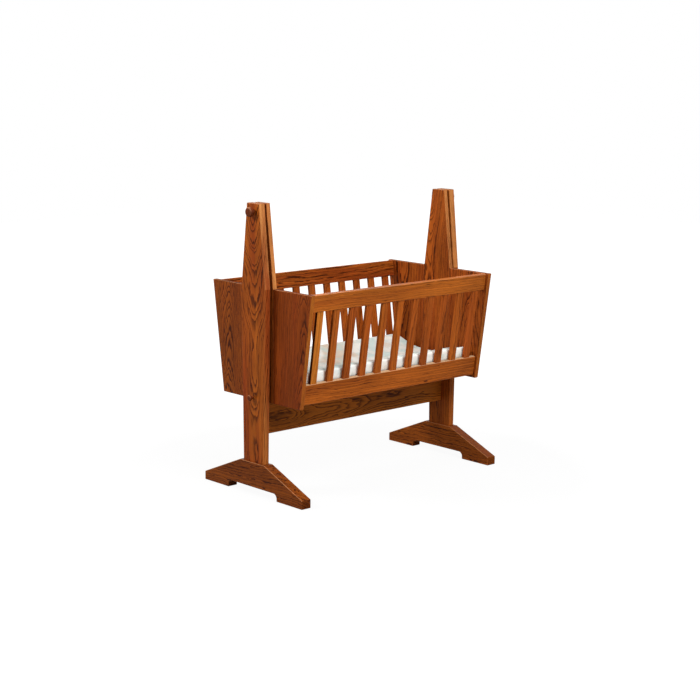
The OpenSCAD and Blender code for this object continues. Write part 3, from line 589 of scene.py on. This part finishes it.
# ---------------------------------------------------------------- turned knobs
def turned(name, profile, place, wear_and_highlight, steps=48):
    """A turned piece: a profile of (distance along the axis, radius) points carried round the axis.
    The first and last points lie on the axis, where the grid closes on one point. The fourth argument is the
    stretch of the axis whose edge is painted pale, partly as wear and partly as a painted highlight, fading as a
    parabola from its middle to both ends."""
    run, radius = np.asarray(profile, float).T
    rows = len(run) - 2
    turn = np.arange(steps) * 2 * math.pi / steps
    rings = np.stack([radius[1:-1, None] * np.cos(turn), radius[1:-1, None] * np.sin(turn),
                      np.broadcast_to(run[1:-1, None], (rows, steps))], 2).reshape(-1, 3)
    points = np.concatenate([rings, [[0, 0, run[0]], [0, 0, run[-1]]]])
    i, j = np.meshgrid(np.arange(rows - 1), np.arange(steps), indexing="ij")
    k = (j + 1) % steps
    walls = np.stack([i * steps + j, i * steps + k, (i + 1) * steps + k, (i + 1) * steps + j], 2).reshape(-1, 4)
    j, k = np.arange(steps), (np.arange(steps) + 1) % steps
    low = np.stack([k, j, np.full(steps, rows * steps)], 1)
    high = np.stack([j + (rows - 1) * steps, k + (rows - 1) * steps, np.full(steps, rows * steps + 1)], 1)
    turned_axes = np.array(place)
    across = (points[:, 2] - wear_and_highlight[0]) / (wear_and_highlight[1] - wear_and_highlight[0])
    return piece(name, points @ turned_axes[:3, :3].T + turned_axes[:3, 3],
                 walls.tolist() + low.tolist() + high.tolist(), eased=np.clip(4 * across * (1 - across), 0, 1))


def smooth_run(points, steps):
    """A curve through these points: between two of them, the Catmull-Rom cubic of the four nearest."""
    given = np.asarray(points, float)
    padded_run = np.concatenate([given[:1], given, given[-1:]])
    t = np.linspace(0, 1, steps, endpoint=False)[:, None]
    p0, p1, p2, p3 = (padded_run[k:len(padded_run) - 3 + k, None] for k in range(4))
    curve = 0.5 * (2 * p1 + (p2 - p0) * t + (2 * p0 - 5 * p1 + 4 * p2 - p3) * t ** 2
                   + (3 * p1 - p0 - 3 * p2 + p3) * t ** 3)
    return np.concatenate([curve.reshape(-1, 2), given[-1:]])


# Along a knob and out from its axis, in shares of its length and diameter
KNOB = [(0, 0.3), (0.1, 0.285), (0.22, 0.28), (0.34, 0.36), (0.45, 0.48), (0.53, 0.5), (0.78, 0.497), (0.88, 0.47),
        (0.96, 0.37), (0.99, 0.2), (1.0, 0)]


def turned_knob(node, body, sign, start, height, diameter, length):
    """A wooden knob on the end of a bolt or pin: a neck under a head with a slightly domed face."""
    run = smooth_run(np.array(KNOB) * (length, diameter), 4)
    run = np.concatenate([[[0, 0]], run])
    place = axes((sign * start, 0, height), Y, (0, 0, sign), (sign, 0, 0))
    # The head's rim is painted pale: partly wear, and on its upper side a painted highlight
    made = turned(node + "_turned", run, place, (0.8 * length, length))
    made.data.materials.append(stained_oak("oak_" + node, Matrix.Translation((0, 0, 3.3)) @ place.inverted(),
                                           pith=(0.03, 0.02), ring=0.004, red=0.6, shade=0.6, end=0.0, gloss=0.13))
    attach(made, body)
    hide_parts(node)


turned_knob("left_pivot_knob", "cradle", -1, POST_OUT + KNOB_STAND, PIVOT_Z, KNOB_D, KNOB_L)
turned_knob("right_pivot_knob", "cradle", 1, POST_OUT + KNOB_STAND, PIVOT_Z, KNOB_D, KNOB_L)
turned_knob("lock_knob", "lock", -1, POST_OUT + LOCK_STROKE, LOCK_Z, LOCK_KNOB_D, LOCK_KNOB_L)


# ---------------------------------------------------------------- mattress
BED_TOP = RIM_Z - SIDE_H * math.cos(LEAN) + BED_RISE
PAD_L, PAD_T, PAD_EDGE_T, PAD_RISE, PAD_END_R = 914 * MM, 50 * MM, 84 * MM, 53 * MM, 24 * MM
PAD_SIDE_GAP = 1.5 * MM
# The powers that square off the pad's oval and gather its lift at the edges, and the fill left at its very ends
PAD_SQUARE, PAD_GATHER, PAD_LEAST_FILL = 0.42, 2.3, 0.12
PAD_MID_Z = BED_TOP + REST_GAP + PAD_T / 2
PAD_HALF_W = SIDE_Y - (RIM_Z - PAD_MID_Z - PAD_RISE) * math.tan(LEAN) - PAD_SIDE_GAP
# The pad starts a little small, and swells as cloth by at most this much
PAD_SPARE, SWELL_MOST = 4 * MM, 4.5 * MM
CLOTH_SPACING, CLOTH_PRESSURE, CLOTH_QUALITY, CLOTH_MASS, CLOTH_FRAMES = 6 * MM, 4.0, 5, 0.3, 20


def pad_form(inside, places=64, ring=96, end_steps=12):
    """The pad lying in the trough of the sides, this far inside its full size. Round it, each ring is a squared
    oval: half its width times the cosine of an angle, to the power PAD_SQUARE, and half its thickness times the
    sine, to the same power. Its lift and its thickness both grow towards the edges, by the share of the half
    width to the power PAD_GATHER. At the ends the rings grow thinner and narrower along a quarter circle."""
    q = np.linspace(0, math.pi / 2, end_steps)
    straight = PAD_L / 2 - inside - PAD_END_R
    run = np.concatenate([-straight - PAD_END_R * np.cos(q), np.linspace(-straight, straight, places)[1:-1],
                          straight + PAD_END_R * np.sin(q)])
    fill = np.concatenate([np.sin(q), np.ones(places - 2), np.cos(q)])
    turn = np.arange(ring) * 2 * math.pi / ring
    squared = [np.sign(v) * np.abs(v) ** PAD_SQUARE for v in (np.cos(turn), np.sin(turn))]
    half = (PAD_HALF_W - inside - PAD_END_R * (1 - fill))[:, None]
    y = half * squared[0]
    edge = (np.abs(y) / PAD_HALF_W) ** PAD_GATHER
    thick = np.maximum(fill, PAD_LEAST_FILL)[:, None] * (PAD_T / 2 - inside + (PAD_EDGE_T - PAD_T) / 2 * edge)
    z = PAD_MID_Z + PAD_RISE * edge + thick * squared[1]
    points = np.stack([np.broadcast_to(run[:, None], y.shape), y, z], 2).reshape(-1, 3)
    i, j = np.meshgrid(np.arange(len(run) - 1), np.arange(ring), indexing="ij")
    k = (j + 1) % ring
    walls = np.stack([i * ring + j, i * ring + k, (i + 1) * ring + k, (i + 1) * ring + j], 2).reshape(-1, 4)
    near = np.arange(1, ring // 2)
    strips = [np.stack([near, near + 1, ring - near], 1)]
    near = np.arange(0, ring // 2 - 1)
    strips.append(np.stack([near + 1, ring - near - 1, (ring - near) % ring], 1))
    cap = np.concatenate(strips)
    last = (len(run) - 1) * ring
    return points, walls[:, ::-1].tolist() + cap.tolist() + (cap[:, ::-1] + last).tolist()


def turn_out(made):
    """All faces of a closed mesh turned outwards."""
    shape = bmesh.new()
    shape.from_mesh(made.data)
    bmesh.ops.recalc_face_normals(shape, faces=shape.faces)
    shape.to_mesh(made.data)
    shape.free()


def settle(made):
    """Makes an object's modifiers part of its mesh."""
    graph = bpy.context.evaluated_depsgraph_get()
    mesh = bpy.data.meshes.new_from_object(made.evaluated_get(graph))
    made.modifiers.clear()
    made.data = mesh


def places_of(mesh):
    """A mesh's points as an array."""
    flat = np.empty(len(mesh.vertices) * 3)
    mesh.vertices.foreach_get("co", flat)
    return flat.reshape(-1, 3)


def printed_cotton():
    """Woven cotton, washed soft and dull: nearly white round the sides, a white that is partly painted light, and
    on the flat a faded print of broad soft clouds of sand and pale green-blue some 120 mm across. Small dabs of
    the same lie all over."""
    material, tree, shader = plain_finish("printed_cotton", "#e1e0d4", 0.85, specular=0.2)
    place = add(tree, "TexCoord").outputs["Object"]
    bent = add(tree, "TexNoise", {"Vector": place, "Scale": 22.0, "Detail": 2.0}).outputs["Color"]
    bent = add(tree, "VectorMath", bent, (0.02, 0.02, 0.02), place, operation="MULTIPLY_ADD")

    def clouded(colour, scale, tint, low, high, most, shift, more=0.0):
        """The colour with clouds of a tint on it, where noise lies over low: up to this strong at high."""
        moved = add(tree, "VectorMath", bent, (shift, shift, 0.0), operation="ADD")
        cloud = add(tree, "TexNoise", {"Vector": moved, "Scale": scale, "Detail": 1.0})
        cloud = add(tree, "Math", cloud, more, operation="ADD")
        share = add(tree, "MapRange", cloud, low, high, 0.0, most, interpolation_type="SMOOTHSTEP")
        return add(tree, "Mix", share, colour, linear(tint), data_type="RGBA")

    # Round one place behind the middle there is more of the sand colour and less of the other
    off = add(tree, "VectorMath", place, (-0.02, 0.12, 0.45), operation="DISTANCE")
    more_sand = add(tree, "MapRange", off, 0.03, 0.22, 0.2, 0.0)
    less_green = add(tree, "MapRange", off, 0.03, 0.22, -0.15, 0.0)
    colour = clouded(linear("#eeeee6"), 6.0, "#ceb294", 0.53, 0.68, 0.7, 3.6, more_sand)
    colour = clouded(colour, 9.0, "#c4dcd8", 0.42, 0.6, 0.75, 2.3, less_green)
    # Near its sides the pad is painted nearly white: partly plain cloth without the print, and partly painted
    # light for the light its sides catch
    side = add(tree, "Math", add(tree, "SeparateXYZ", place).outputs[1], operation="ABSOLUTE")
    side = add(tree, "MapRange", side, PAD_HALF_W - 40 * MM, PAD_HALF_W - 4 * MM, 0.0, 0.85,
               interpolation_type="SMOOTHSTEP")
    colour = add(tree, "Mix", side, colour, linear("#f8faf5"), data_type="RGBA")
    colour = clouded(colour, 30.0, "#b6d0cc", 0.5, 0.66, 0.4, 1.2)
    colour = clouded(colour, 34.0, "#ccb494", 0.6, 0.72, 0.25, 5.5)
    tree.links.new(colour.outputs[2], shader.inputs["Base Color"])
    # The weave, drawn coarse so that it shows
    threads = [add(tree, "TexWave", {"Vector": place, "Scale": 830 / (2 * math.pi)}, bands_direction=way)
               .outputs["Fac"] for way in "XY"]
    threads = add(tree, "Math", *threads, operation="MAXIMUM")
    lift = add(tree, "Bump", {"Height": threads, "Strength": 0.25, "Distance": 0.0003})
    tree.links.new(lift.outputs[0], shader.inputs["Normal"])
    shader.inputs["Sheen Weight"].default_value = 0.15
    return material


def make_mattress():
    """The pad: its form is remeshed, blown up a little as cloth round a filling, and held to its own space."""
    made = piece("mattress_pad", *pad_form(PAD_SPARE))
    turn_out(made)
    mesher = made.modifiers.new("even", "REMESH")
    mesher.mode, mesher.voxel_size = "VOXEL", CLOTH_SPACING
    settle(made)
    start = places_of(made.data)
    cloth = made.modifiers.new("filling", "CLOTH")
    cloth.settings.use_pressure, cloth.settings.uniform_pressure_force = True, CLOTH_PRESSURE
    cloth.settings.quality = CLOTH_QUALITY
    cloth.settings.mass = CLOTH_MASS
    cloth.settings.effector_weights.gravity = 0.0
    scene = bpy.context.scene
    for number in range(1, CLOTH_FRAMES + 1):
        scene.frame_set(number)
    graph = bpy.context.evaluated_depsgraph_get()
    moved = places_of(made.evaluated_get(graph).data) - start
    made.modifiers.clear()
    scene.frame_set(1)
    reach = np.linalg.norm(moved, axis=1, keepdims=True)
    moved *= np.minimum(1.0, SWELL_MOST / np.maximum(reach, 1e-9))
    made.data.vertices.foreach_set("co", (start + moved).ravel())
    made.data.update()
    made.data.shade_smooth()
    finer = made.modifiers.new("fine", "SUBSURF")
    finer.levels = finer.render_levels = 1
    made.data.materials.append(printed_cotton())
    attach(made, "mattress")
    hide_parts("mattress")


make_mattress()


# ---------------------------------------------------------------- studio
FLOOR_HALF, FLOOR_DROP = 9.0, 0.4 * MM
SHADOW_R, WHITE_R = 0.9, 2.2      # the floor keeps its shadow within the first, and is white from the second


def area_lamp(name, place, aim, size, power):
    """A soft square lamp at a place, turned to a point."""
    data = bpy.data.lights.new(name, "AREA")
    data.size, data.energy = size, power
    lamp = bpy.data.objects.new(name, data)
    turn = (Vector(place) - Vector(aim)).to_track_quat("Z", "Y").to_matrix().to_4x4()
    lamp.matrix_world = Matrix.Translation(place) @ turn
    bpy.context.scene.collection.objects.link(lamp)


def seen_share(tree):
    """1 for a ray that the camera or a shiny surface sends, and 0 for one that carries light."""
    path = add(tree, "LightPath").outputs
    mirrored = add(tree, "Math", path["Is Glossy Ray"], path["Is Transmission Ray"], operation="MAXIMUM")
    return add(tree, "Math", path["Is Camera Ray"], mirrored, operation="MAXIMUM")


def studio():
    """A white room: soft lamps high in front, overhead, behind on the right and on the left, and a floor that
    keeps a faint shadow round the object and is plain white further off."""
    area_lamp("key", (-0.7, -3.3, 3.3), (0, 0, 0.5), 2.0, 158.0)
    area_lamp("top", (-0.4, -0.4, 3.6), (0, 0, 0.5), 2.4, 32.0)
    area_lamp("back", (2.2, 3.4, 3.0), (0, 0, 0.6), 2.0, 42.0)
    area_lamp("fill", (-3.1, 1.6, 2.9), (0, 0, 0.6), 1.0, 94.0)
    world = bpy.data.worlds.new("white_room")
    bpy.context.scene.world = world
    world.use_nodes = True
    tree = world.node_tree
    strength = add(tree, "MapRange", seen_share(tree), {"To Min": 0.2, "To Max": 1.0})
    tree.links.new(strength.outputs[0], tree.nodes["Background"].inputs["Strength"])
    tree.nodes["Background"].inputs["Color"].default_value = (1, 1, 1, 1)
    corners = flat_bar(-FLOOR_HALF, FLOOR_HALF, -FLOOR_HALF, FLOOR_HALF)
    floor = piece("floor", [(*corner, -FLOOR_DROP) for corner in corners], [[0, 1, 2, 3]])
    material = bpy.data.materials.new("white_floor")
    material.use_nodes = True
    tree = material.node_tree
    off = add(tree, "VectorMath", add(tree, "TexCoord").outputs["Object"], operation="LENGTH")
    far = add(tree, "MapRange", off, SHADOW_R, WHITE_R)
    glow = add(tree, "Emission", (1, 1, 1, 1), 1.17)
    dull = add(tree, "BsdfDiffuse", linear("#8e8e8e"))
    share = add(tree, "Math", far, 0.2, 0.8, operation="MULTIPLY_ADD")
    share = add(tree, "Math", seen_share(tree), share, operation="MULTIPLY")
    mix = add(tree, "MixShader", share, dull, glow)
    tree.links.new(mix.outputs[0], tree.nodes["Material Output"].inputs[0])
    floor.data.materials.append(material)
    bpy.context.scene.view_settings.view_transform = "Standard"


studio()
